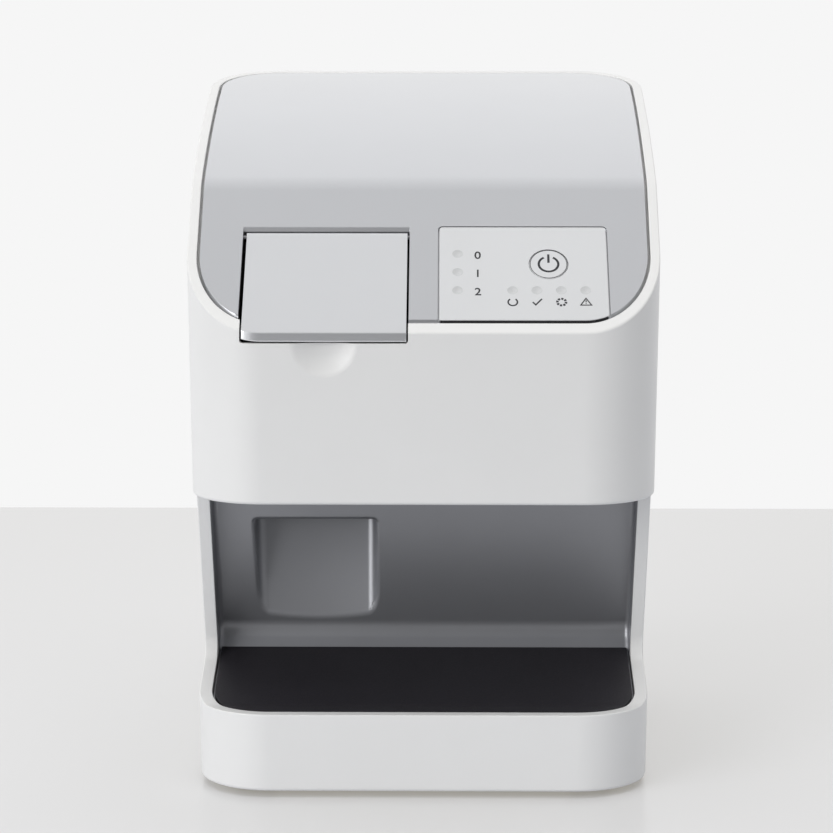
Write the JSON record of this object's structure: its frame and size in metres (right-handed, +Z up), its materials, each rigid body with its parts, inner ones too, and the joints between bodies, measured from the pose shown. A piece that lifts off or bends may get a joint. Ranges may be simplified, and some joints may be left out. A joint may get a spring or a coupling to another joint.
{
  "type": "phosphor plate scanner",
  "caption": "Desktop reader for intraoral image plates: a sleeve-shaped housing with a feed flap and a button panel on its sloping top, over a niche with a tray where the plate comes out.",
  "frame": {"origin": "middle of the footprint, level with the undersides of the feet", "axes": "+Z up, -Y to the front with the flap, the panel and the tray, +X to the viewer's right"},
  "size_m": [0.162, 0.16, 0.2432],
  "materials": {
    "housing_white": "fine satin moulded plastic",
    "lid_grey": "satin moulded plastic, light cool grey",
    "flap_grey": "satin moulded plastic, pale grey",
    "liner_grey": "matt mid grey plastic",
    "mat_black": "matt black soft mat",
    "dark_plastic": "matt black plastic",
    "rubber": "matt black rubber",
    "steel": "plain sheet and turned steel",
    "circuit_board": "green solder mask",
    "lamp_window": "grey translucent window",
    "mirror": "polished mirror facets"
  },
  "bodies": {
    "housing": {"hood": "housing_white", "lower_housing": "housing_white", "base_plate": "steel", "niche_liner": "liner_grey", "tray_mat": "mat_black", "top_lid": "lid_grey", "flap_pin_left": "steel", "flap_pin_right": "steel", "feed_well": "dark_plastic", "control_panel": "flap_grey", "power_switch": "dark_plastic", "panel_board": "circuit_board", "chassis": "steel", "main_board": "circuit_board", "guide_front": "steel", "guide_rear": "steel", "side_frame_left": "steel", "side_frame_right": "steel", "transport_motor": "steel", "drive_belt": "rubber", "optics_bracket": "steel", "laser_module": "steel", "mirror_motor": "dark_plastic", "light_collector": "lamp_window", "detector_tube": "dark_plastic", "erase_lamp": "lamp_window", "connector_panel": "dark_plastic", "network_port": "dark_plastic", "power_inlet": "dark_plastic", "foot_front_left": "rubber", "base_screw_front_left": "steel", "foot_front_right": "rubber", "base_screw_front_right": "steel", "foot_rear_left": "rubber", "base_screw_rear_left": "steel", "foot_rear_right": "rubber", "base_screw_rear_right": "steel", "size_lamp_0": "lamp_window", "size_lamp_1": "lamp_window", "size_lamp_2": "lamp_window", "status_lamp_1": "lamp_window", "status_lamp_2": "lamp_window", "status_lamp_3": "lamp_window", "status_lamp_4": "lamp_window"},
    "flap": {"flap": "flap_grey"},
    "power_button": {"power_button": "flap_grey"},
    "drive_roller_upper": {"drive_roller_upper": "rubber", "pulley_upper": "dark_plastic"},
    "drive_roller_lower": {"drive_roller_lower": "rubber", "pulley_lower": "dark_plastic"},
    "pinch_roller_upper": {"pinch_roller_upper": "rubber"},
    "pinch_roller_lower": {"pinch_roller_lower": "rubber"},
    "motor_pulley": {"motor_pulley": "dark_plastic"},
    "mirror_rotor": {"mirror_rotor": "mirror"}
  },
  "joints": [
    {"name": "flap_hinge", "type": "hinge", "parent": "housing", "child": "flap", "pos_m": [-0.033, -0.0472, 0.18876], "axis": [-1, 0, 0], "range_deg": [0, 95]},
    {"name": "power_press", "type": "slide", "parent": "housing", "child": "power_button", "axis": [0, 0.6884, -0.7254], "range_m": [0, 0.0005], "stiffness_N_per_m": 800, "springref_m": -0.0004},
    {"name": "drive_roller_upper_spin", "type": "hinge", "parent": "housing", "child": "drive_roller_upper", "pos_m": [-0.0385, -0.04618, 0.1504], "axis": [1, 0, 0], "continuous": true},
    {"name": "drive_roller_lower_spin", "type": "hinge", "parent": "housing", "child": "drive_roller_lower", "pos_m": [-0.0385, -0.03012, 0.11596], "axis": [1, 0, 0], "continuous": true},
    {"name": "pinch_roller_upper_spin", "type": "hinge", "parent": "housing", "child": "pinch_roller_upper", "pos_m": [-0.0385, -0.05461, 0.14647], "axis": [1, 0, 0], "continuous": true},
    {"name": "pinch_roller_lower_spin", "type": "hinge", "parent": "housing", "child": "pinch_roller_lower", "pos_m": [-0.0385, -0.03855, 0.11203], "axis": [1, 0, 0], "continuous": true},
    {"name": "motor_pulley_spin", "type": "hinge", "parent": "housing", "child": "motor_pulley", "pos_m": [-0.0385, -0.05642, 0.12466], "axis": [1, 0, 0], "continuous": true},
    {"name": "mirror_spin", "type": "hinge", "parent": "housing", "child": "mirror_rotor", "pos_m": [-0.0385, -0.01654, 0.14325], "axis": [0, -0.4225, 0.9064], "continuous": true}
  ],
  "couplings": [
    {"joint": "drive_roller_upper_spin", "follows": "drive_roller_lower_spin", "ratio": 1},
    {"joint": "pinch_roller_upper_spin", "follows": "drive_roller_lower_spin", "ratio": -1.241},
    {"joint": "pinch_roller_lower_spin", "follows": "drive_roller_lower_spin", "ratio": -1.241},
    {"joint": "motor_pulley_spin", "follows": "drive_roller_lower_spin", "ratio": 1.2667}
  ]
}
